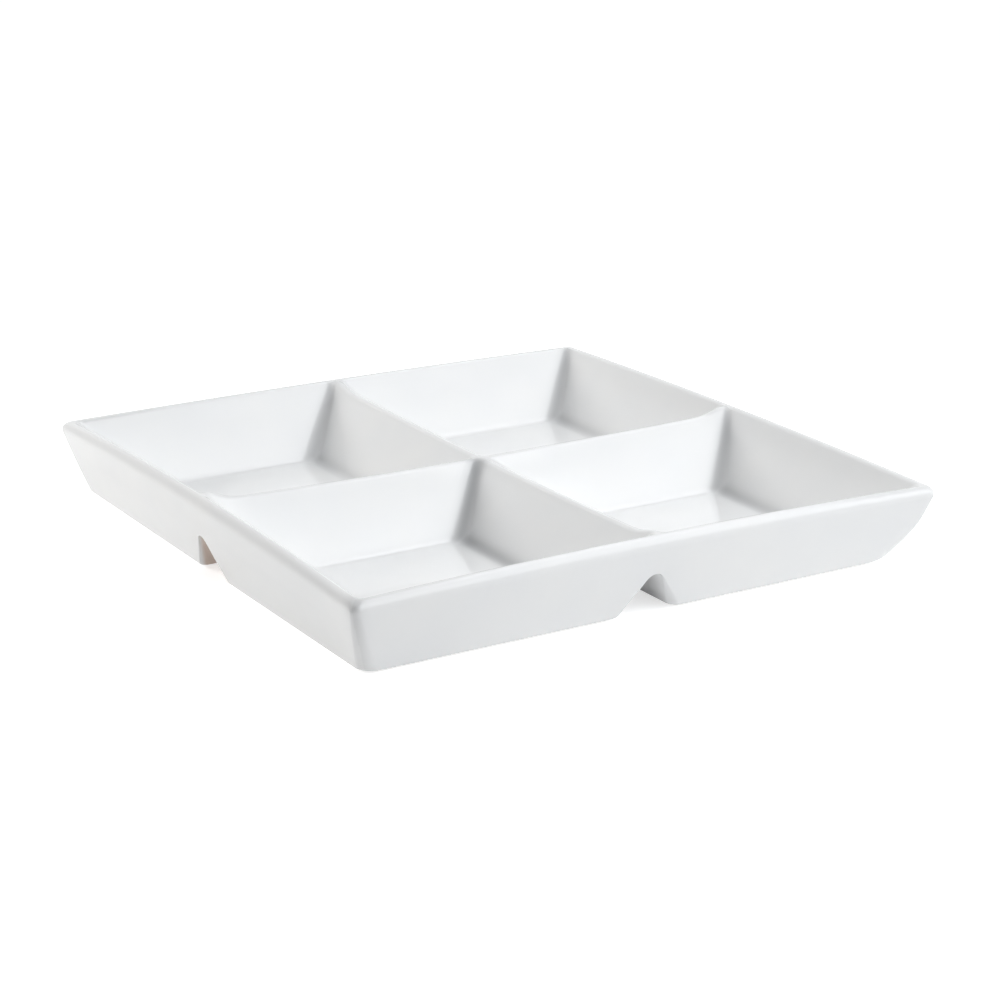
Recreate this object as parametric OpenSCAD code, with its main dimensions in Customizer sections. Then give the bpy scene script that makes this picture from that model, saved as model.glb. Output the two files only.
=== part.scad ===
// A square stoneware serving dish with four wells, parted by a cross of dividers.
// It is centred on the Z axis and stands on z = 0. Its sides run along X and Y, and -Y is the front.
// The clay is one fired body. It is drawn as the regions that a potter names: four wells that lean
// on each other below, the rim and the dividers that close them above, and the bare foot rings.

/* [Dish] */
// Side of the square dish, measured over the rim
dish_w = 300; // [240:5:320]
// Height of the rim at the four corners
corner_h = 35.2; // [32:0.1:40]
// How much higher the rim stands in the middle of the front side
front_rise = 2.1; // [0:0.1:4]
// How much higher the rim stands in the middle of the right side
right_rise = 2.2; // [0:0.1:4]
// How much higher the rim stands in the middle of the back side
back_rise = 1.4; // [0:0.1:4]
// How much higher the rim stands in the middle of the left side
left_rise = 3.1; // [0:0.1:4]
// Height of the dividers where they cross
centre_h = 32.6; // [30:0.1:37]
// How much higher the crests of the dividers stand near the rim than where they cross
crest_lift = 1.8; // [0:0.1:3]
// How far the middle of each side is drawn in
side_bow = 1; // [0:0.1:3]
// Radius of the rim's corners, seen from above
rim_corner_r = 3.5; // [3:0.5:12]

/* [Walls] */
// Thickness of the rounded lip
lip_t = 7.5; // [4:0.25:9]
// Thickness of the rounded crest of the dividers
crest_t = 6.5; // [4:0.25:8]
// Angle of the walls inside the wells, from upright
inner_slope = 40; // [30:1:44]
// How far the underside stands in from the rim
base_inset = 9.2; // [7:0.1:16]
// Swell of the outer walls between the foot and the lip
wall_bulge = 0.3; // [0:0.1:2]
// Radius of the rounded edge round each underside
base_edge_r = 2.5; // [1.5:0.5:5]
// Radius of the dish's corners at the underside
base_corner_r = 7; // [6:0.5:16]
// Radius of the front right corner at the underside, which is rounded more than the others
front_right_base_r = 22; // [6:0.5:26]

/* [Wells] */
// Thickness of the floors
floor_t = 3.8; // [3:0.1:5]
// Radius of the fillet between floor and wall
floor_fillet_r = 6; // [4:0.5:14]
// Radius of a well's corners at its upper edge
well_top_corner_r = 3.5; // [2.5:0.5:6]
// Radius of a well's corners at its floor
well_floor_corner_r = 7; // [5:0.5:16]

/* [Channels] */
// Height of the channels under the dividers
channel_h = 20.3; // [17:0.1:24]
// Width of the channels at the underside
channel_w = 26.5; // [22:0.5:34]
// Radius of the channels' rounded crown
channel_crown_r = 4.5; // [3:0.5:7]
// Radius of the wells' corners at the front and back mouths, at the underside
front_mouth_r = 5; // [2.5:0.5:12]
// Radius of the wells' corners at the left and right mouths, at the underside
side_mouth_r = 2.5; // [2.5:0.5:12]
// How far the channel from front to back lies off the middle, to the right
channel_shift_x = -2.8; // [-5:0.1:5]
// How far the channel from left to right lies off the middle, to the back
channel_shift_y = -4; // [-5:0.1:5]

/* [Feet] */
// Height of the bare foot rings
foot_h = 0.7; // [0.5:0.1:2]
// Width of the foot rings
foot_w = 3.5; // [2:0.5:4]
// How far the foot rings stand in from the edge of the underside
foot_edge = 1; // [0.4:0.1:2]
// Smallest radius of the foot rings' inner corners
foot_corner_r = 0.5; // [0.5:0.1:2]

/* [Smoothness] */
// Steps round a corner
corner_steps = 6; // [4:1:8]
// Steps along half a side of the rim
rim_steps = 6; // [3:1:8]
// Steps along each arm of the dividers
arm_steps = 4; // [2:1:6]
// Steps where a crest rises to the rim
rise_steps = 4; // [1:1:6]

/* [Hidden] */

half = dish_w / 2;
lip_r = lip_t / 2;
crest_r = crest_t / 2;
floor_z = foot_h + floor_t;

// The wells end and the rim and dividers begin at one level plane, just above the channels' crown
crown_share = 0.13;
joint_z = channel_h + crown_share * (centre_h - channel_h);

// The arms of the dividers end this share of the way to the rim, clear of the wells' corners
arm_share = 0.84;
arm_l = arm_share * half;

// A crest begins to rise to the rim's height this share of the way to the lip
rise_start_share = 0.86;

// The walls leave the joint as they meet it, and change their height and bow up to this share
soft_start_share = 0.5;

// Two points closer than this are one point
weld = 0.001;

// Where the wells' walls would meet their floors if there were no fillet:
// from the middle line of a divider, and from the outside of the dish
crest_foot = crest_r / cos(inner_slope)
    + (corner_h - crest_r - floor_z) * tan(inner_slope);
lip_foot = lip_r + lip_r / cos(inner_slope)
    + (corner_h - lip_r - floor_z) * tan(inner_slope);

// The outer wall leaves the lip as a tangent that ends at the edge of the underside
lip_rise = corner_h - lip_r - foot_h;
lip_overhang = base_inset - lip_r;
outer_slope = atan(lip_overhang / lip_rise) + asin(lip_r / norm([lip_overhang, lip_rise]));
lip_foot_z = corner_h - lip_r - lip_r * sin(outer_slope);

// The sides of a channel are tangents to its rounded crown
crown_rise = channel_h - channel_crown_r - foot_h;
channel_half_w = channel_w / 2;
channel_slope = atan(channel_half_w / crown_rise)
    - asin(channel_crown_r / norm([channel_half_w, crown_rise]));
crown_foot_z = channel_h - channel_crown_r * (1 - sin(channel_slope));

// How far a sloping wall has moved out at height q above its foot, where its edge has radius r
function flank(q, slope, r) =
    q < r * (1 - sin(slope))
        ? sqrt(max(0, q * (2 * r - q))) - r * tan(45 - slope / 2)
        : q * tan(slope);

// Half the thickness at height z of an edge that is rounded with radius r and ends at height top
function rounded_edge(z, top, r) = sqrt(max(0, r * r - (z - top + r) * (z - top + r)));

// Distance of a well's wall from the middle line of its divider
function divider_wall(z) =
    z > corner_h - crest_r * (1 - sin(inner_slope))
        ? rounded_edge(z, corner_h, crest_r)
        : crest_foot - flank(z - floor_z, inner_slope, floor_fillet_r);

// Distance of a well's wall from the outside of the dish
function outer_wall(z) =
    z > corner_h - lip_r * (1 - sin(inner_slope))
        ? lip_r + rounded_edge(z, corner_h, lip_r)
        : lip_foot - flank(z - floor_z, inner_slope, floor_fillet_r);

// Distance of the outer face from the outside of the dish
function outer_face(z) =
    let (s = (z - foot_h) / (lip_foot_z - foot_h))
    z > lip_foot_z
        ? lip_r - rounded_edge(z, corner_h, lip_r)
        : base_inset - flank(z - foot_h, outer_slope, base_edge_r) - wall_bulge * 4 * s * (1 - s);

// Distance of a channel's side from its middle line
function channel_side(z) =
    z > channel_h ? 0
        : z > crown_foot_z ? rounded_edge(z, channel_h, channel_crown_r)
        : channel_half_w - flank(z - foot_h, channel_slope, base_edge_r);

// Corner radii at height z: inside the wells, at the dish's corners, at its corner in the quarter with
// these signs, and at the mouths of the channels on the sides and in front
function well_corner(z) =
    well_top_corner_r
        + (well_floor_corner_r - well_top_corner_r) * (corner_h - z) / (corner_h - floor_z);
function dish_corner(z) =
    rim_corner_r + (base_corner_r - rim_corner_r) * (corner_h - z) / (corner_h - foot_h);
function quarter_corner(z, sides) =
    dish_corner(z)
        + (sides.x > 0 && sides.y < 0 ? front_right_base_r - base_corner_r : 0)
            * pow(max(0, joint_z - z) / (joint_z - foot_h), 2);
function mouth_corners(z) =
    [side_mouth_r, front_mouth_r] * max(0, channel_h - z) / (channel_h - foot_h);

// Smooth step from 0 where the crests begin to rise to 1 at the lip, for a share of the way to the lip
function near_lip(share) =
    let (s = max(0, (share - rise_start_share) / (1 - rise_start_share)))
    s * s * (3 - 2 * s);

// Height of the rim or of a crest above the point [x, y]. The crests stand at centre_h where they
// cross and gain crest_lift on their way out. The rim stands at corner_h in the corners, and on each
// side it rises by its own amount towards the middle.
function top_z(x, y) =
    let (
        u = min(1, abs(x) / (half - lip_t)),
        v = min(1, abs(y) / (half - lip_t)),
        crest = centre_h + crest_lift * (u * u + v * v),
        rim = corner_h
            + (x > 0 ? right_rise : left_rise) * (1 - v * v) * near_lip(u)
            + (y > 0 ? back_rise : front_rise) * (1 - u * u) * near_lip(v)
    )
    rim + (1 - near_lip(u)) * (1 - near_lip(v)) * (crest - rim);

// How much of the sides' bow a point has that lies c from the middle
function bow_share(c) = max(0, (c - arm_l) / (half - arm_l));

// How much of the bow and of the change in height a point has at this share of the way up from the
// joint. Both start softly, so that the walls run on over the joint without a crease.
function eased_share(share) =
    (share < soft_start_share
        ? share * share / (2 * soft_start_share)
        : share - soft_start_share / 2)
    / (1 - soft_start_share / 2);

// A point of the rim or the dividers, given in plan in the back right quarter, by the signs of the
// quarter that it is meant for, and by its share of the height above the joint
function raised(p, sides, share) =
    let (x = p.x / half, y = p.y / half, eased = eased_share(share))
    [
        sides.x * (p.x - side_bow * eased * bow_share(p.x) * (1 - y * y)),
        sides.y * (p.y - side_bow * eased * bow_share(p.y) * (1 - x * x)),
        joint_z + share * (corner_h - joint_z)
            + eased * (top_z(sides.x * p.x, sides.y * p.y) - corner_h)
    ];

// A quarter turn of radius r round a centre
function corner(centre, r, start) =
    [for (k = [0 : corner_steps])
        let (t = start + 90 * k / corner_steps)
        centre + r * [cos(t), sin(t)]];

// Points between a and b, without its ends
function between(a, b, steps) = [for (k = [1 : 1 : steps - 1]) a + (b - a) * k / steps];

// A rounded square from the point near, at the dividers, to the outside at far on both axes,
// with corners of two radii near the side and the front of the dish, and of radius far_r between them
function well_loop(near, far, near_r, far_r) =
    concat(
        corner([near.x + near_r.x, near.y + near_r.x], near_r.x, 180),
        corner([far - near_r.x, near.y + near_r.x], near_r.x, 270),
        corner([far - far_r, far - far_r], far_r, 0),
        corner([near.x + near_r.y, far - near_r.y], near_r.y, 90)
    );

function at_height(loop, z) = [for (p = loop) [p.x, p.y, z]];

// Where a well's outside at height z comes nearest to the middle of the dish, for the well in the
// quarter with these signs, drawn in the back right quarter
function channel_corner(z, sides) =
    [
        channel_side(z) + sides.x * channel_shift_x,
        channel_side(z) + sides.y * channel_shift_y
    ];

// A level of the well's outside, which faces the channels on two sides, and one of its inside
function outside_loop(z, sides) =
    at_height(
        well_loop(
            channel_corner(z, sides), half - outer_face(z), mouth_corners(z), quarter_corner(z, sides)
        ),
        z
    );
function inside_loop(z) =
    let (near = divider_wall(z), r = well_corner(z))
    at_height(well_loop([near, near], half - outer_wall(z), [r, r], r), z);

// Levels of a well: up its outside from the rounded edge to the joint, then down its inside
edge_shares = [0, 0.06, 0.25, 0.6, 1];
wall_shares = [0.3, 0.65, 1];
crown_shares = [0.5, 0.85, 1];
fillet_shares = [1, 0.62, 0.3, 0.08, 0];
base_edge_h = base_edge_r * (1 - sin(outer_slope));
fillet_h = floor_fillet_r * (1 - sin(inner_slope));
outside_levels = concat(
    [for (s = edge_shares) foot_h + s * base_edge_h],
    [for (s = wall_shares) foot_h + base_edge_h + s * (crown_foot_z - foot_h - base_edge_h)],
    [for (s = crown_shares) crown_foot_z + s * (channel_h - crown_foot_z)],
    [joint_z]
);
inside_levels = concat([joint_z], [for (s = fillet_shares) floor_z + s * fillet_h]);
function well_loops(sides) =
    concat(
        [for (z = outside_levels) outside_loop(z, sides)],
        [for (z = inside_levels) inside_loop(z)]
    );

// Triangles over a row of loops that have equally many points, closed at both ends
function skin_faces(loops) =
    let (n = len(loops[0]), last = n * (len(loops) - 1))
    concat(
        [for (j = [0 : len(loops) - 2], i = [0 : n - 1])
            let (a = j * n + i, b = j * n + (i + 1) % n)
            each [[a, a + n, b + n], [a, b + n, b]]],
        [for (i = [0 : n - 3])
            each [[n - 1, i, i + 1], [last + n - 1, last + i + 1, last + i]]]
    );

// Whether a triangle has an area, and whether it lies in a plane of symmetry of the dish
function has_area(a, b, c) = norm(cross(b - a, c - a)) > weld * weld;
function between_quarters(a, b, c) =
    max(abs(a.x), abs(b.x), abs(c.x)) < weld || max(abs(a.y), abs(b.y), abs(c.y)) < weld;

module skin(loops) {
    points = [for (loop = loops) each loop];
    faces = skin_faces(loops);
    polyhedron(points, [for (f = faces) if (has_area(points[f[0]], points[f[1]], points[f[2]])) f]);
}

// The same sections in all four quarters, as one solid with nothing between the quarters
module four_quarters(paths) {
    quarters = [[1, 1], [1, -1], [-1, 1], [-1, -1]];
    points = [for (sides = quarters, section = sections(paths, sides)) each section];
    quarter_faces = skin_faces(sections(paths, quarters[0]));
    n = len(points) / len(quarters);
    polyhedron(points, [
        for (q = [0 : len(quarters) - 1], f = quarter_faces)
            let (
                a = n * q + f[0],
                b = n * q + f[1],
                c = n * q + f[2],
                turned = quarters[q].x * quarters[q].y < 0
            )
            if (has_area(points[a], points[b], points[c])
                && !between_quarters(points[a], points[b], points[c]))
                turned ? [c, b, a] : [a, b, c]
    ]);
}

// The quarter at the back right, put in one of the four corners
module in_corner(x_side, y_side) {
    mirror([x_side < 0 ? 1 : 0, 0, 0])
        mirror([0, y_side < 0 ? 1 : 0, 0])
            children();
}

module well(x_side, y_side) {
    color("white")
        in_corner(x_side, y_side)
            skin(well_loops([x_side, y_side]));
}

// A bare ring under the edge of a well
module foot(x_side, y_side) {
    near = channel_corner(foot_h, [x_side, y_side]) + [foot_edge, foot_edge];
    far = half - outer_face(foot_h) - foot_edge;
    near_r = mouth_corners(foot_h) - [foot_edge, foot_edge];
    far_r = quarter_corner(foot_h, [x_side, y_side]) - foot_edge;
    inner_r = [max(foot_corner_r, near_r.x - foot_w), max(foot_corner_r, near_r.y - foot_w)];
    color("tan")
        in_corner(x_side, y_side)
            linear_extrude(foot_h)
                difference() {
                    polygon(well_loop(near, far, near_r, far_r));
                    polygon(well_loop(near + [foot_w, foot_w], far - foot_w, inner_r, far_r - foot_w));
                }
}

// Stations of the section of the rim: up the outer face, over the lip and down into the well.
// Each one is [distance from the outside, distance from the divider's middle line,
// radius of the near corners, radius of the far corner, share of the height above the joint].
function share_at(z) = (z - joint_z) / (corner_h - joint_z);
function outside_station(z) = [outer_face(z), 0, 0, dish_corner(z), share_at(z)];
function inside_station(z) =
    [outer_wall(z), divider_wall(z), well_corner(z), well_corner(z), share_at(z)];
function lip_z(t) = corner_h - lip_r + lip_r * sin(t);
wall_middle_share = 0.5;
lip_out_angles = [-outer_slope, 0, 30, 60];
lip_in_angles = [73, 57, inner_slope];
stations = concat(
    [
        outside_station(joint_z),
        outside_station(joint_z + wall_middle_share * (lip_foot_z - joint_z))
    ],
    [for (t = lip_out_angles)
        [lip_r - lip_r * cos(t), 0, 0, dish_corner(lip_z(t)), share_at(lip_z(t))]],
    [[lip_r, 0, 0, (rim_corner_r + well_top_corner_r) / 2, 1]],
    [for (t = lip_in_angles) inside_station(lip_z(t))],
    [
        inside_station(joint_z + wall_middle_share * (lip_z(inner_slope) - joint_z)),
        inside_station(joint_z)
    ]
);

// The same point of every station makes one section of the rim or of a divider
function sections(paths, sides) =
    [for (i = [0 : len(paths[0]) - 1])
        [for (k = [0 : len(stations) - 1]) raised(paths[k][i], sides, stations[k][4])]];

// Path of a station round the outside of a well, from the end of one arm to that of the other
function rim_path(s) =
    let (far = half - s[0], near = s[1], near_r = s[2], far_r = s[3])
    concat(
        [[arm_l, near]],
        between([arm_l, near], [far - near_r, near], rise_steps),
        corner([far - near_r, near + near_r], near_r, 270),
        between([far, near + near_r], [far, far - far_r], rim_steps),
        corner([far - far_r, far - far_r], far_r, 0),
        between([far - far_r, far], [near + near_r, far], rim_steps),
        corner([near + near_r, far - near_r], near_r, 90),
        between([near, far - near_r], [near, arm_l], rise_steps),
        [[near, arm_l]]
    );

// Path of a station along two arms of the dividers, round the corner at the centre
function arm_path(s) =
    let (near = s[1], near_r = s[2])
    concat(
        [for (k = [arm_steps : -1 : 1]) [near, arm_l * k / arm_steps]],
        corner([near + near_r, near + near_r], near_r, 180),
        [for (k = [1 : arm_steps]) [arm_l * k / arm_steps, near]]
    );

module rim() {
    color("white")
        four_quarters([for (s = stations) rim_path(s)]);
}

module divider_cross() {
    color("white")
        four_quarters([for (s = stations) arm_path(s)]);
}

well(-1, -1);  // front_left_well
well(1, -1);  // front_right_well
well(-1, 1);  // back_left_well
well(1, 1);  // back_right_well
rim();
divider_cross();
foot(-1, -1);  // front_left_foot
foot(1, -1);  // front_right_foot
foot(-1, 1);  // back_left_foot
foot(1, 1);  // back_right_foot
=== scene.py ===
import bpy
import numpy as np
from mathutils import Matrix, Vector


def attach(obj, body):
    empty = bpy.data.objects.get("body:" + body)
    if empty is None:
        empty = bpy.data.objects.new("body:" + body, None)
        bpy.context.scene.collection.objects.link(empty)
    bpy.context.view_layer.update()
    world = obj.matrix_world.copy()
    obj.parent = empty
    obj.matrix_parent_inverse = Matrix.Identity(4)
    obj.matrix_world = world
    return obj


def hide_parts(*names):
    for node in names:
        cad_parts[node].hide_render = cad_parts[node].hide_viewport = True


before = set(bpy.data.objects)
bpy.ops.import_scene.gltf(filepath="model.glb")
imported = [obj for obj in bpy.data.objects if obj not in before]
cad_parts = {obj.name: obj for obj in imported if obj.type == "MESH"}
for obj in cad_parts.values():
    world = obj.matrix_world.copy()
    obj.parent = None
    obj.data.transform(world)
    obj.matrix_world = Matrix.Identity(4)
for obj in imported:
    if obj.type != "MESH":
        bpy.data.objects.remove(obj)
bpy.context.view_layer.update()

# The four wells of the bowl, under its rim and dividers. They are pressed from white stoneware and
# lean on each other along the crown of the channels between them. Inside and out they carry the
# same glossy glaze, which runs unbroken over the joints to the rim and the dividers. Sizes are in mm.
MM = 0.001
HALF_SIDE = 150.0
CORNER_H = 35.2
CENTRE_H = 32.6
SIDE_BOW = 1.0
RIM_CORNER_R = 3.5
LIP_R = 3.75
CREST_R = 3.25
INNER_SLOPE = np.radians(40.0)
BASE_INSET = 9.2
WALL_BULGE = 0.3
BASE_EDGE_R = 2.5
BASE_CORNER_R = 7.0
FRONT_RIGHT_BASE_R = 22.0
FOOT_H = 0.7
FLOOR_Z = FOOT_H + 3.8
FLOOR_FILLET_R = 6.0
WELL_TOP_CORNER_R = 3.5
WELL_FLOOR_CORNER_R = 7.0
CHANNEL_H = 20.3
CHANNEL_HALF_W = 13.25
CHANNEL_SHIFT = np.array([-2.8, -4.0])
CROWN_R = 4.5
SIDE_MOUTH_R = 2.5
FRONT_MOUTH_R = 5.0
JOINT_Z = CHANNEL_H + 0.13 * (CENTRE_H - CHANNEL_H)
ARM_L = 0.84 * HALF_SIDE

CORNER_STEPS = 18
SIDE_STEPS = 36
ARM_STEPS = 24
RISE_STEPS = 12

crest_foot = CREST_R / np.cos(INNER_SLOPE) + (CORNER_H - CREST_R - FLOOR_Z) * np.tan(INNER_SLOPE)
lip_foot = LIP_R + LIP_R / np.cos(INNER_SLOPE) + (CORNER_H - LIP_R - FLOOR_Z) * np.tan(INNER_SLOPE)
lip_rise, lip_overhang = CORNER_H - LIP_R - FOOT_H, BASE_INSET - LIP_R
OUTER_SLOPE = np.arctan(lip_overhang / lip_rise) + np.arcsin(LIP_R / np.hypot(lip_overhang, lip_rise))
LIP_FOOT_Z = CORNER_H - LIP_R - LIP_R * np.sin(OUTER_SLOPE)
crown_rise = CHANNEL_H - CROWN_R - FOOT_H
CHANNEL_SLOPE = np.arctan(CHANNEL_HALF_W / crown_rise) - np.arcsin(
    CROWN_R / np.hypot(CHANNEL_HALF_W, crown_rise)
)
CROWN_FOOT_Z = CHANNEL_H - CROWN_R * (1 - np.sin(CHANNEL_SLOPE))
WELLS = {"front_left": (-1, -1), "front_right": (1, -1), "back_left": (-1, 1), "back_right": (1, 1)}
# Painted shade: strengths per well and reaches of the grey painted into the wells' back right corners, the
# feet of their right walls, the front mouth and the outer front left corner.
PAINTED_SHADE_SHARE = {(-1, -1): 0.65, (1, -1): 0.47, (-1, 1): 0.31, (1, 1): 0.4}
CORNER_SHADE_R = 4.6
FOOT_SHADE_W = 3.4
FOOT_SHADE_H = 3.2
FOOT_SHADE_L = 115.0
EDGE_SHADE_R = 4.5
FRONT_SHADE_L = 55.0
MOUTH_SHADE_L = 110.0
# Reach of the warm brown tint inside the left mouth of the channel.
LEFT_MOUTH_TINT_L = 70.0
ON_FACE = 0.6


def flank(q, slope, r):
    """How far a sloping wall has moved out at height q above its foot: a circle of radius r that is
    tangent to the level foot and to the wall, and above it the height times the slope's tangent."""
    rounded = np.sqrt(np.maximum(0, q * (2 * r - q))) - r * np.tan(np.pi / 4 - slope / 2)
    return np.where(q < r * (1 - np.sin(slope)), rounded, q * np.tan(slope))


def rounded_edge(z, top, r):
    """Half the thickness at height z of an edge rounded with radius r: half a circle's chord."""
    return np.sqrt(np.maximum(0, r * r - (z - top + r) ** 2))


def divider_wall(z):
    """Distance of a well's wall from the middle line of its divider: fillet, slope, rounded crest."""
    wall = crest_foot - flank(z - FLOOR_Z, INNER_SLOPE, FLOOR_FILLET_R)
    crest = rounded_edge(z, CORNER_H, CREST_R)
    return np.where(z > CORNER_H - CREST_R * (1 - np.sin(INNER_SLOPE)), crest, wall)


def outer_wall(z):
    """Distance of a well's wall from the outside of the bowl: fillet, slope, rounded lip."""
    wall = lip_foot - flank(z - FLOOR_Z, INNER_SLOPE, FLOOR_FILLET_R)
    lip = LIP_R + rounded_edge(z, CORNER_H, LIP_R)
    return np.where(z > CORNER_H - LIP_R * (1 - np.sin(INNER_SLOPE)), lip, wall)


def outer_face(z):
    """Distance of the outer face from the outside of the bowl: rounded edge, slope with a parabolic
    swell, rounded lip."""
    s = (z - FOOT_H) / (LIP_FOOT_Z - FOOT_H)
    face = BASE_INSET - flank(z - FOOT_H, OUTER_SLOPE, BASE_EDGE_R) - WALL_BULGE * 4 * s * (1 - s)
    return np.where(z > LIP_FOOT_Z, LIP_R - rounded_edge(z, CORNER_H, LIP_R), face)


def channel_side(z):
    """Distance of a channel's side from its middle line: rounded edge, slope, rounded crown."""
    side = CHANNEL_HALF_W - flank(z - FOOT_H, CHANNEL_SLOPE, BASE_EDGE_R)
    side = np.where(z > CROWN_FOOT_Z, rounded_edge(z, CHANNEL_H, CROWN_R), side)
    return np.where(z > CHANNEL_H, 0, side)


def well_corner(z):
    """Radius of a well's corners, which grows evenly from the upper edge to the floor."""
    depth = (CORNER_H - z) / (CORNER_H - FLOOR_Z)
    return WELL_TOP_CORNER_R + (WELL_FLOOR_CORNER_R - WELL_TOP_CORNER_R) * depth


def bowl_corner(z):
    """Radius of the bowl's outer corners, which grows evenly from the rim to the foot."""
    return RIM_CORNER_R + (BASE_CORNER_R - RIM_CORNER_R) * (CORNER_H - z) / (CORNER_H - FOOT_H)


def quarter_corner(z, sides):
    """Radius of the bowl's corner in one quarter: at the front right it grows by a parabola below the
    joint, because that corner is rounder than the others towards the foot."""
    extra = FRONT_RIGHT_BASE_R - BASE_CORNER_R if sides == (1, -1) else 0
    return bowl_corner(z) + extra * (np.maximum(0, JOINT_Z - z) / (JOINT_Z - FOOT_H)) ** 2


def mouth_corners(z):
    """Radii of the edges at the side and front mouths of the channels, which shrink to nothing at the
    crown."""
    share = np.maximum(0, CHANNEL_H - z) / (CHANNEL_H - FOOT_H)
    return SIDE_MOUTH_R * share, FRONT_MOUTH_R * share


def squares(near, far, near_r, far_r, reach):
    """Rounded squares, a row each: straight sides from near, an x and a y, to far, with quarter circles
    between them, whose radii are a pair at the side and the front and far_r between those. The rows
    start and turn back at `reach`, where the arms of the dividers end. It gives the rows, and the
    column where the rim's part ends."""
    spans = np.broadcast_arrays(*near, far, *near_r, far_r, reach)
    near_x, near_y, far, side_r, front_r, far_r, reach = spans
    quarter = np.radians(90) * np.arange(CORNER_STEPS + 1) / CORNER_STEPS

    def corner(x, y, r, start):
        angle = quarter + np.radians(start)
        x, y, r = x[:, None], y[:, None], r[:, None]
        return np.stack([x + r * np.cos(angle), y + r * np.sin(angle)], -1)

    def between(a, b, steps):
        a, b = np.stack(a, -1)[:, None], np.stack(b, -1)[:, None]
        return a + (b - a) * (0.5 - 0.5 * np.cos(np.pi * np.arange(1, steps) / steps))[:, None]

    rim_part = [
        np.stack([reach, near_y], -1)[:, None],
        between((reach, near_y), (far - side_r, near_y), RISE_STEPS),
        corner(far - side_r, near_y + side_r, side_r, 270),
        between((far, near_y + side_r), (far, far - far_r), SIDE_STEPS),
        corner(far - far_r, far - far_r, far_r, 0),
        between((far - far_r, far), (near_x + front_r, far), SIDE_STEPS),
        corner(near_x + front_r, far - front_r, front_r, 90),
        between((near_x, far - front_r), (near_x, reach), RISE_STEPS),
        np.stack([near_x, reach], -1)[:, None],
    ]
    arm_part = [
        between((near_x, reach), (near_x, near_y + side_r), ARM_STEPS),
        corner(near_x + side_r, near_y + side_r, side_r, 180),
        between((near_x + side_r, near_y), (reach, near_y), ARM_STEPS),
    ]
    rim_end = sum(p.shape[1] for p in rim_part) - 1
    return np.concatenate(rim_part + arm_part, axis=1), rim_end


def well_rows(z, near, far, near_r, far_r):
    """Level rounded squares at heights z. Their turning points move in with the corners, and lie at
    the ends of the dividers' arms on the row at the joint."""
    start, end = np.maximum(*near) + np.maximum(*near_r), far - np.maximum(*near_r)
    at_joint = np.argmax(z)
    share = (ARM_L - start[at_joint]) / (end[at_joint] - start[at_joint])
    rows, _ = squares(near, far, near_r, far_r, start + share * (end - start))
    return np.concatenate([rows, np.broadcast_to(z[:, None, None], rows.shape[:2] + (1,))], -1)


def spread(row, shares):
    """Copies of a level row drawn in towards its middle, each to its share of the size."""
    middle = (row.min(0) + row.max(0)) / 2
    return middle + np.asarray(shares)[:, None, None] * (row - middle)


def grid_quads(rows, columns, closed=True):
    """Quads of a grid, by the numbers of their corners, with each row closed on itself or open."""
    j, i = np.meshgrid(np.arange(rows - 1), np.arange(columns if closed else columns - 1), indexing="ij")
    a, b = j * columns + i, j * columns + (i + 1) % columns
    return np.stack([a, b, b + columns, a + columns], -1).reshape(-1, 4)


def bell(distance, reach):
    return np.exp(-((distance / reach) ** 2))


def behind_face(along, z):
    """How far points lie behind the outer face on the negative side of an axis."""
    return along + HALF_SIDE - outer_face(np.clip(z, FOOT_H, CORNER_H))


def in_channel(across, z, shift):
    """Which points lie on the sides of a channel whose middle line has this shift."""
    side = channel_side(np.clip(z, FOOT_H, CHANNEL_H))
    return (np.abs(np.abs(across - shift) - side) < ON_FACE) & (z < CHANNEL_H)


def painted_shade(points):
    """How strongly painted shade greys the glaze, from 0 to 1: in the corner at the back right of every
    well and along the foot of its right wall, in the front mouth of the channel, and a little along
    the outer corner at the front left. The strengths are matched to the photograph. Each is a bell
    curve of the distances to the right wall, a, to the back wall, b, and to the floor, h, or to the
    outer faces at the left and the front."""
    x, y, z = points.T
    h = z - FLOOR_Z
    outer, divider = HALF_SIDE - lip_foot + h * np.tan(INNER_SLOPE), h * np.tan(INNER_SLOPE) - crest_foot
    depth = np.clip(h / (CENTRE_H - FLOOR_Z), 0, 1)
    most = np.zeros(len(x))
    for (x_side, y_side), share in PAINTED_SHADE_SHARE.items():
        a = (outer if x_side > 0 else divider) - x
        b = (outer if y_side > 0 else divider) - y
        corner = bell(np.hypot(a, b), CORNER_SHADE_R) * (1 - 0.25 * depth) + 0.15 * bell(a, 2.5) * bell(b, 16)
        foot = 0.75 * bell(h, FOOT_SHADE_H) + 0.18 * bell(h, 12)
        foot = foot * bell(a, FOOT_SHADE_W) * bell(b, FOOT_SHADE_L) * (b > -4)
        most = np.maximum(most, share * np.maximum(corner, foot))
    most *= (behind_face(-np.maximum(np.abs(x), np.abs(y)), z) > 3) & (h > -0.01)
    left, front = behind_face(x, z), behind_face(y, z)
    height = np.clip(z / CORNER_H, 0, 1) ** 3
    edge = bell(np.hypot(left - 0.5, front - 3 * height), EDGE_SHADE_R) * (0.03 + 0.22 * height)
    outer_corner = edge + 0.075 * bell(left, FRONT_SHADE_L) * (front < 2)
    mouth = np.clip((front - 3) / 12, 0, 1) * bell(front, MOUTH_SHADE_L) * (0.55 + 0.45 * bell(z, 5))
    mouth = mouth * in_channel(x, z, CHANNEL_SHIFT[0])
    return np.clip(np.maximum(most, np.maximum(outer_corner, mouth)), 0, 1)


def left_mouth_tint(points):
    """How strongly the glaze is tinted warm brown, from 0 to 1, inside the left mouth of the channel from
    side to side.
    """
    x, y, z = points.T
    depth = behind_face(x, z)
    return np.clip((depth - 0.8) / 1.6, 0, 1) * bell(depth, LEFT_MOUTH_TINT_L) * in_channel(y, z, CHANNEL_SHIFT[1])


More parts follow.
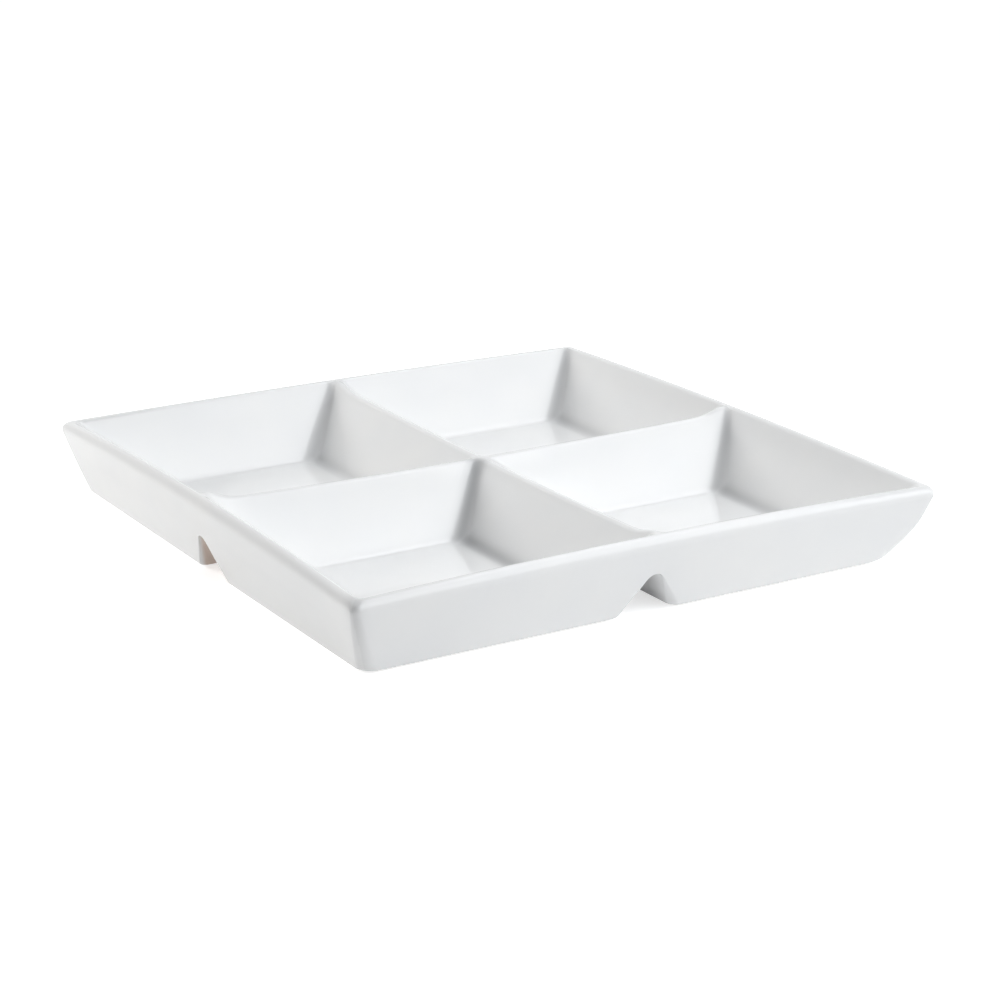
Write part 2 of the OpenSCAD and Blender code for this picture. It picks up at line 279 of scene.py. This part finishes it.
def glazed_piece(name, points, quads, node, slot="glaze"):
    """A closed mesh of the points, in millimetres, and quads: points at one place become one, quads
    lose the corners that fall together, and what is left of no area is dropped."""
    _, first, same = np.unique(np.round(points, 5), axis=0, return_index=True, return_inverse=True)
    corners = same.reshape(-1)[quads]
    kept = corners != np.roll(corners, -1, axis=1)
    kept &= (kept.sum(1) > 2)[:, None]
    counts = kept.sum(1)
    counts = counts[counts > 2]
    mesh = bpy.data.meshes.new(name)
    mesh.vertices.add(len(first))
    mesh.vertices.foreach_set("co", (points[first] * MM).astype(np.float32).ravel())
    mesh.loops.add(int(counts.sum()))
    mesh.loops.foreach_set("vertex_index", corners[kept].astype(np.int32))
    mesh.polygons.add(len(counts))
    mesh.polygons.foreach_set("loop_start", np.concatenate([[0], np.cumsum(counts)[:-1]]).astype(np.int32))
    mesh.polygons.foreach_set("use_smooth", np.ones(len(counts), bool))
    mesh.update(calc_edges=True)
    mesh.validate()
    mesh.set_sharp_from_angle(angle=np.radians(32))
    # Painted shade and a warm brown tint of the left mouth, stored as attributes per point.
    for mark in (painted_shade, left_mouth_tint):
        values = mark(points[first]).astype(np.float32)
        mesh.attributes.new(mark.__name__, "FLOAT", "POINT").data.foreach_set("value", values)
    piece = bpy.data.objects.new(name, mesh)
    bpy.context.collection.objects.link(piece)
    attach(piece, "root")
    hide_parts(node)
    return piece


def in_quarter(points, quads, x_side, y_side):
    """The back right quarter mirrored into another one, with its quads turned to face outwards."""
    moved = points * np.array([x_side, y_side, 1])
    return moved, quads if x_side * y_side > 0 else quads[:, ::-1]


def linear(hex_colour):
    """The linear RGBA of an sRGB hex colour: the standard curve, a power of 2.4 with a short foot."""
    s = np.array([int(hex_colour[i : i + 2], 16) for i in (1, 3, 5)]) / 255
    return (*np.where(s <= 0.04045, s / 12.92, ((s + 0.055) / 1.055) ** 2.4), 1.0)


def add_node(tree, kind, inputs=(), **settings):
    """A node of a kind, with its settings, and its inputs by name: a link from an output, or a value."""
    node = tree.nodes.new(kind)
    for key, value in settings.items():
        setattr(node, key, value)
    for key, value in dict(inputs).items():
        if isinstance(value, bpy.types.NodeSocket):
            tree.links.new(value, node.inputs[key])
        else:
            node.inputs[key].default_value = value
    return node


def new_material(name):
    material = bpy.data.materials.new(name)
    material.use_nodes = True
    material.node_tree.nodes.clear()
    return material, material.node_tree


# Feldspathic glaze over white stoneware, dipped and fired glossy. The clay is the white, the glaze
# is a smooth glass that lies in slow waves, and gives clear reflections that waver a little.
GLAZE_WAVE_MM = 26.0
GLAZE_WAVE_H_MM = 0.18
GLAZE_DIMPLE_MM = 2.4
GLAZE_DIMPLE_H_MM = 0.008
glossy_white_glaze, tree = new_material("glossy_white_glaze_on_stoneware")
place = add_node(tree, "ShaderNodeTexCoord").outputs["Object"]
wave = add_node(
    tree,
    "ShaderNodeTexNoise",
    {"Vector": place, "Scale": 1 / (GLAZE_WAVE_MM * MM), "Detail": 1.0, "Roughness": 0.4},
)
dimple = add_node(
    tree,
    "ShaderNodeTexNoise",
    {"Vector": place, "Scale": 1 / (GLAZE_DIMPLE_MM * MM), "Detail": 2.0, "Roughness": 0.5},
)
tint = add_node(
    tree,
    "ShaderNodeMix",
    {"Factor": wave.outputs["Fac"], "A": linear("#F1F2F3"), "B": linear("#F6F6F5")},
    data_type="RGBA",
)
# Painted shade: an attribute mixes the glaze towards dark grey #6E7074 in the wells' back right corners,
# along the feet of their right walls, in the front mouth and at the outer front left corner.
shade_share = add_node(tree, "ShaderNodeAttribute", attribute_name="painted_shade")
painted_shade_tint = add_node(
    tree,
    "ShaderNodeMix",
    {"Factor": shade_share.outputs["Fac"], "A": tint.outputs["Result"], "B": linear("#6E7074")},
    data_type="RGBA",
)
# A warm brown tint #E2D2C7 inside the left mouth of the channel, mixed in by an attribute.
left_mouth_share = add_node(tree, "ShaderNodeAttribute", attribute_name="left_mouth_tint")
glaze_tint = add_node(
    tree,
    "ShaderNodeMix",
    {"Factor": left_mouth_share.outputs["Fac"], "A": painted_shade_tint.outputs["Result"], "B": linear("#E2D2C7")},
    data_type="RGBA",
)
shine = add_node(
    tree,
    "ShaderNodeMapRange",
    {"Value": dimple.outputs["Fac"], "From Min": 0.3, "From Max": 0.7, "To Min": 0.045, "To Max": 0.075},
)
slow = add_node(
    tree, "ShaderNodeBump", {"Height": wave.outputs["Fac"], "Distance": GLAZE_WAVE_H_MM * MM, "Strength": 1.0}
)
fine = add_node(
    tree,
    "ShaderNodeBump",
    {
        "Height": dimple.outputs["Fac"],
        "Distance": GLAZE_DIMPLE_H_MM * MM,
        "Strength": 1.0,
        "Normal": slow.outputs["Normal"],
    },
)
glass = add_node(
    tree,
    "ShaderNodeBsdfPrincipled",
    {
        "Base Color": glaze_tint.outputs["Result"],
        "Roughness": shine.outputs["Result"],
        "IOR": 1.5,
        "Normal": fine.outputs["Normal"],
    },
)
add_node(tree, "ShaderNodeOutputMaterial", {"Surface": glass.outputs["BSDF"]})

arc = np.linspace(0, 1, 13)
outside_z = np.concatenate(
    [
        FOOT_H + BASE_EDGE_R * (1 - np.cos(arc * (np.pi / 2 - OUTER_SLOPE))),
        np.linspace(FOOT_H + BASE_EDGE_R * (1 - np.sin(OUTER_SLOPE)), CROWN_FOOT_Z, 14)[1:],
        CHANNEL_H - CROWN_R * (1 - np.sin(CHANNEL_SLOPE + arc[1:] * (np.pi / 2 - CHANNEL_SLOPE))),
        [JOINT_Z],
    ]
)
inside_z = np.concatenate(
    [
        np.linspace(JOINT_Z, FLOOR_Z + FLOOR_FILLET_R * (1 - np.sin(INNER_SLOPE)), 12),
        FLOOR_Z + FLOOR_FILLET_R * (1 - np.cos((1 - arc[1:]) * (np.pi / 2 - INNER_SLOPE))),
    ]
)


def channel_corner(z, sides):
    """Distances of a well's outside from the middle lines, x and y, for the well with these signs."""
    return tuple(channel_side(z) + side * shift for side, shift in zip(sides, CHANNEL_SHIFT))


inside_rows = well_rows(
    inside_z,
    (divider_wall(inside_z),) * 2,
    HALF_SIDE - outer_wall(inside_z),
    (well_corner(inside_z),) * 2,
    well_corner(inside_z),
)
for corner_name, sides in WELLS.items():
    outside_rows = well_rows(
        outside_z,
        channel_corner(outside_z, sides),
        HALF_SIDE - outer_face(outside_z),
        mouth_corners(outside_z),
        quarter_corner(outside_z, sides),
    )
    well_points = np.concatenate(
        [
            spread(outside_rows[0], [0, 0.35, 0.7, 0.9, 0.98]),
            outside_rows,
            inside_rows,
            spread(inside_rows[-1], [0.98, 0.95, 0.9, 0.8, 0.6, 0.3, 0]),
        ]
    )
    piece = glazed_piece(
        f"{corner_name}_well_glazed",
        *in_quarter(well_points.reshape(-1, 3), grid_quads(*well_points.shape[:2]), *sides),
        f"{corner_name}_well",
    )
    piece.data.materials.append(glossy_white_glaze)

# The rim, the upper band of the outer walls, closes the wells above. Its lip is rounded by a wet
# sponge, and it has risen a little in the middle of each side and been drawn in there by the firing.
LIP_ARC_STEPS = 10
FRONT_RISE, RIGHT_RISE, BACK_RISE, LEFT_RISE = 2.1, 2.2, 1.4, 3.1
CREST_LIFT = 1.8
RISE_START = 0.86
SOFT_START = 0.5


def near_lip(share):
    """Smooth step from 0 where the crests begin to rise to 1 at the lip."""
    s = np.maximum(0, (share - RISE_START) / (1 - RISE_START))
    return s * s * (3 - 2 * s)


def top_z(x, y):
    """Height of the rim or of a crest over a point in plan. The crests gain CREST_LIFT with the square
    of the way out; the rim rises by a parabola towards the middle of each side; the smooth step near
    the lip leads from the one to the other."""
    u, v = (np.minimum(1, np.abs(c) / (HALF_SIDE - 2 * LIP_R)) for c in (x, y))
    crest = CENTRE_H + CREST_LIFT * (u**2 + v**2)
    rim = CORNER_H + np.where(x > 0, RIGHT_RISE, LEFT_RISE) * (1 - v**2) * near_lip(u)
    rim = rim + np.where(y > 0, BACK_RISE, FRONT_RISE) * (1 - u**2) * near_lip(v)
    return rim + (1 - near_lip(u)) * (1 - near_lip(v)) * (crest - rim)


def eased_share(share):
    """How much of the bow and of the change in height a share of the way up has: a parabola up to
    SOFT_START and its tangent from there on, so that the walls cross the joint without a crease."""
    eased = np.where(share < SOFT_START, share**2 / (2 * SOFT_START), share - SOFT_START / 2)
    return eased / (1 - SOFT_START / 2)


def raised(rows, share, x_side, y_side):
    """Rows in plan lifted to their share of the height from the joint to the top, with the middle of
    each side drawn in by the bow, and mirrored into the quarter with these signs."""
    x, y, share = rows[..., 0], rows[..., 1], share[:, None]
    eased = eased_share(share)
    bow_x, bow_y = (np.maximum(0, (c - ARM_L) / (HALF_SIDE - ARM_L)) for c in (x, y))
    return np.stack(
        [
            x_side * (x - SIDE_BOW * eased * bow_x * (1 - (y / HALF_SIDE) ** 2)),
            y_side * (y - SIDE_BOW * eased * bow_y * (1 - (x / HALF_SIDE) ** 2)),
            JOINT_Z + share * (CORNER_H - JOINT_Z) + eased * (top_z(x_side * x, y_side * y) - CORNER_H),
        ],
        -1,
    )


def lip_z(angle):
    return CORNER_H - LIP_R + LIP_R * np.sin(angle)


up_z = np.concatenate(
    [
        np.linspace(JOINT_Z, LIP_FOOT_Z, 10)[:-1],
        lip_z(np.linspace(-OUTER_SLOPE, np.pi / 2, 2 * LIP_ARC_STEPS)),
    ]
)
down_z = np.concatenate(
    [
        lip_z(np.linspace(np.pi / 2, INNER_SLOPE, LIP_ARC_STEPS)[1:]),
        np.linspace(lip_z(INNER_SLOPE), JOINT_Z, 14)[1:],
    ]
)
up_far_r = bowl_corner(up_z)
up_far_r[-1] = (RIM_CORNER_R + WELL_TOP_CORNER_R) / 2
section_z = np.concatenate([up_z, down_z])
section, RIM_END = squares(
    (np.concatenate([0 * up_z, divider_wall(down_z)]),) * 2,
    HALF_SIDE - np.concatenate([outer_face(up_z), outer_wall(down_z)]),
    (np.concatenate([0 * up_z, well_corner(down_z)]),) * 2,
    np.concatenate([up_far_r, well_corner(down_z)]),
    ARM_L,
)
section_share = (section_z - JOINT_Z) / (CORNER_H - JOINT_Z)
TOP_ROW = len(up_z) - 1


def crown_piece(name, columns, node):
    """The part of the section's rows with these columns, in all four quarters: its surface, its level
    underside at the joint, and its ends from the wall to the divider's middle line. What would lie
    between the quarters is left out."""
    points, quads, start = [], [], 0
    for x_side, y_side in WELLS.values():
        rows = raised(section[:, columns], section_share, x_side, y_side)
        surface = np.concatenate([rows, rows[:1]])
        parts = [surface]
        for column, turn in ((rows[TOP_ROW:, 0], 1), (rows[TOP_ROW:, -1], -1)):
            middle = column.copy()
            middle[:, int(np.argmin(np.abs(column[-1, :2])))] = 0
            parts.append(np.stack([middle, column][::turn], 1))
        for part in parts:
            part_quads = start + grid_quads(*part.shape[:2], closed=False)
            points.append(part.reshape(-1, 3))
            quads.append(part_quads if x_side * y_side > 0 else part_quads[:, ::-1])
            start += part.shape[0] * part.shape[1]
    points, quads = np.concatenate(points), np.concatenate(quads)
    between = (np.abs(points[quads][..., :2]) < 1e-6).all(1).any(1)
    return glazed_piece(name, points, quads[~between], node)


rim = crown_piece("rim_glazed", np.arange(RIM_END + 1), "rim")
rim.data.materials.append(glossy_white_glaze)

# The cross of dividers, whose crest is a little thinner than the lip and dips towards the centre.
# Its walls run on down into the wells, and fillets fill the four corners where the arms cross.
arm_columns = np.concatenate([np.arange(RIM_END, section.shape[1]), [0]])
divider_cross = crown_piece("divider_cross_glazed", arm_columns, "divider_cross")
divider_cross.data.materials.append(glossy_white_glaze)

# The foot rings under the wells. The glaze is wiped off them before the firing, so that the bowl
# doesn't stick to the shelf, and the bare clay is rubbed smooth afterwards.
FOOT_W = 3.5
FOOT_EDGE = 1.0
FOOT_ROUND = 0.45
FOOT_CORNER_R = 0.5
FOOT_TURN = ARM_L - 30
FOOT_GRAIN_MM = 0.5
FOOT_GRAIN_H_MM = 0.08
FOOT_SPECK_MM = 3.0

bare_clay, tree = new_material("bare_stoneware_foot")
place = add_node(tree, "ShaderNodeTexCoord").outputs["Object"]
grain = add_node(
    tree,
    "ShaderNodeTexNoise",
    {"Vector": place, "Scale": 1 / (FOOT_GRAIN_MM * MM), "Detail": 3.0, "Roughness": 0.6},
)
toast = add_node(
    tree,
    "ShaderNodeTexNoise",
    {"Vector": place, "Scale": 1 / (FOOT_SPECK_MM * MM), "Detail": 3.0, "Roughness": 0.6},
)
clay_colour = add_node(
    tree,
    "ShaderNodeMix",
    {"Factor": toast.outputs["Fac"], "A": linear("#A8937B"), "B": linear("#CDBEAB")},
    data_type="RGBA",
)
rough_clay = add_node(
    tree,
    "ShaderNodeBump",
    {"Height": grain.outputs["Fac"], "Distance": FOOT_GRAIN_H_MM * MM, "Strength": 1.0},
)
clay = add_node(
    tree,
    "ShaderNodeBsdfPrincipled",
    {
        "Base Color": clay_colour.outputs["Result"],
        "Roughness": 0.82,
        "IOR": 1.45,
        "Normal": rough_clay.outputs["Normal"],
    },
)
add_node(tree, "ShaderNodeOutputMaterial", {"Surface": clay.outputs["BSDF"]})

turn = np.linspace(0, np.pi / 2, 6)
foot_in, foot_up = FOOT_ROUND * (1 - np.sin(turn)), FOOT_ROUND * (1 - np.cos(turn))
foot_out = np.concatenate([[0], foot_in[::-1], FOOT_W - foot_in, [FOOT_W]])
foot_z = np.concatenate([[FOOT_H], foot_up[::-1], foot_up, [FOOT_H]])
foot_far = HALF_SIDE - float(outer_face(FOOT_H)) - FOOT_EDGE - foot_out
foot_near_r = tuple(np.maximum(FOOT_CORNER_R, float(r) - FOOT_EDGE - foot_out) for r in mouth_corners(FOOT_H))
for corner_name, sides in WELLS.items():
    foot_near = tuple(near + FOOT_EDGE + foot_out for near in channel_corner(FOOT_H, sides))
    foot_far_r = float(quarter_corner(FOOT_H, sides)) - FOOT_EDGE - foot_out
    foot_rows, _ = squares(foot_near, foot_far, foot_near_r, foot_far_r, FOOT_TURN)
    foot_height = np.broadcast_to(foot_z[:, None, None], foot_rows.shape[:2] + (1,))
    foot_rows = np.concatenate([foot_rows, foot_height], -1)
    foot_rows = np.concatenate([foot_rows, foot_rows[:1]])
    piece = glazed_piece(
        f"{corner_name}_foot_bare",
        *in_quarter(foot_rows.reshape(-1, 3), grid_quads(*foot_rows.shape[:2])[:, ::-1], *sides),
        f"{corner_name}_foot",
        "bare_clay",
    )
    piece.data.materials.append(bare_clay)

# The table: a wide sheet of white acrylic that is lit from below, so that it glows softly. The camera
# and the reflections see it lighter still, so that it runs out to white and keeps the soft shadow.
SHEET_HALF_M = 1.0
SHEET_GLOW = 0.15
SHEET_LIFT = 0.46


def seen_sharply(tree):
    """1 for what the camera and the reflections see, and 0 for the light that falls on things."""
    path = add_node(tree, "ShaderNodeLightPath").outputs
    both = {0: path["Is Camera Ray"], 1: path["Is Glossy Ray"]}
    return add_node(tree, "ShaderNodeMath", both, operation="MAXIMUM").outputs["Value"]


white_sheet, tree = new_material("matt_white_lit_sheet")
seen = add_node(
    tree, "ShaderNodeMath", {0: seen_sharply(tree), 1: SHEET_LIFT, 2: SHEET_GLOW}, operation="MULTIPLY_ADD"
)
paper = add_node(tree, "ShaderNodeBsdfDiffuse", {"Color": linear("#ECECEC")})
glow = add_node(tree, "ShaderNodeEmission", {"Color": (1, 1, 1, 1), "Strength": seen.outputs["Value"]})
both = add_node(tree, "ShaderNodeAddShader", {0: paper.outputs["BSDF"], 1: glow.outputs["Emission"]})
add_node(tree, "ShaderNodeOutputMaterial", {"Surface": both.outputs["Shader"]})
sheet_mesh = bpy.data.meshes.new("table_sheet")
s = SHEET_HALF_M
sheet_mesh.from_pydata([(-s, -s, 0), (s, -s, 0), (s, s, 0), (-s, s, 0)], [], [(0, 1, 2, 3)])
sheet = bpy.data.objects.new("table_sheet", sheet_mesh)
bpy.context.collection.objects.link(sheet)
sheet.data.materials.append(white_sheet)

# Light: a dim white room, large softboxes at the front right and at the right, which make the far
# walls of the wells the brightest, and a small low one at the back left. The far walls stand in the
# way of that one, which leaves a soft dark wedge in the corner at the back right of every well.
# Painted shade in the glaze darkens these wedges further.
ROOM_STRENGTH = 0.1
BACKDROP_STRENGTH = 1.03
world = bpy.data.worlds.new("white_room")
bpy.context.scene.world = world
world.use_nodes = True
tree = world.node_tree
tree.nodes.clear()
room = add_node(tree, "ShaderNodeBackground", {"Color": linear("#FFFFFF"), "Strength": ROOM_STRENGTH})
backdrop = add_node(
    tree, "ShaderNodeBackground", {"Color": linear("#FFFFFF"), "Strength": BACKDROP_STRENGTH}
)
view = add_node(
    tree,
    "ShaderNodeMixShader",
    {"Fac": seen_sharply(tree), 1: room.outputs["Background"], 2: backdrop.outputs["Background"]},
)
add_node(tree, "ShaderNodeOutputWorld", {"Surface": view.outputs["Shader"]})


def softbox(name, toward, distance, size, watts, hex_colour):
    """A square lamp that looks at the bowl from a direction, at a distance in metres."""
    lamp = bpy.data.lights.new(name, "AREA")
    lamp.shape, lamp.size, lamp.energy = "SQUARE", size, watts
    lamp.color = linear(hex_colour)[:3]
    holder = bpy.data.objects.new(name, lamp)
    direction = np.array(toward) / np.linalg.norm(toward)
    holder.matrix_world = look_from(direction * distance, direction)
    bpy.context.collection.objects.link(holder)
    return holder


def look_from(place, back, roll=0.0):
    """A matrix at a place whose -Z axis points against `back`, with its X axis level, then rolled."""
    back = Vector(back).normalized()
    right = Vector((0, 0, 1)).cross(back).normalized()
    up = back.cross(right)
    turn = Matrix((right, up, back)).transposed().to_4x4()
    return Matrix.Translation(Vector(place)) @ turn @ Matrix.Rotation(roll, 4, "Z")


softbox("key_softbox", (0.45, -0.62, 0.75), 1.6, 1.5, 17.2, "#FBFDFF")
softbox("front_softbox", (0.3, -0.85, 0.5), 1.6, 1.4, 2.8, "#FBFDFF")
softbox("right_softbox", (0.5, 0.0, 0.87), 2.0, 0.8, 3.6, "#FBFDFF")
softbox("back_right_softbox", (0.5, 0.28, 0.82), 3.0, 1.0, 9.8, "#FBFDFF")
back_left = softbox("back_left_softbox", (-0.62, 0.69, 0.375), 1.5, 0.54, 12.2, "#FFFEFC")
back_left.visible_glossy = False

# Camera: at the photograph's angle, from a fit to the rim, the dividers and the foot lines.
AZIMUTH = np.radians(-31.56)
ELEVATION = np.radians(18.544)
ROLL = np.radians(0.32)
DISTANCE_M = 1.14500
TARGET_Z_M = -0.0005
LENS_MM = 2411.51 / 1000 * 36
camera_data = bpy.data.cameras.new("photo_camera")
camera_data.sensor_width = 36
camera_data.lens = LENS_MM
camera_data.shift_x = 0.01972
camera_data.shift_y = 0.02424
camera_data.clip_end = 20
camera = bpy.data.objects.new("photo_camera", camera_data)
back = (
    np.sin(AZIMUTH) * np.cos(ELEVATION),
    -np.cos(AZIMUTH) * np.cos(ELEVATION),
    np.sin(ELEVATION),
)
camera.matrix_world = look_from(np.array(back) * DISTANCE_M + np.array([0, 0, TARGET_Z_M]), back, ROLL)
bpy.context.collection.objects.link(camera)
bpy.context.scene.camera = camera
bpy.context.scene.view_settings.view_transform = "Standard"
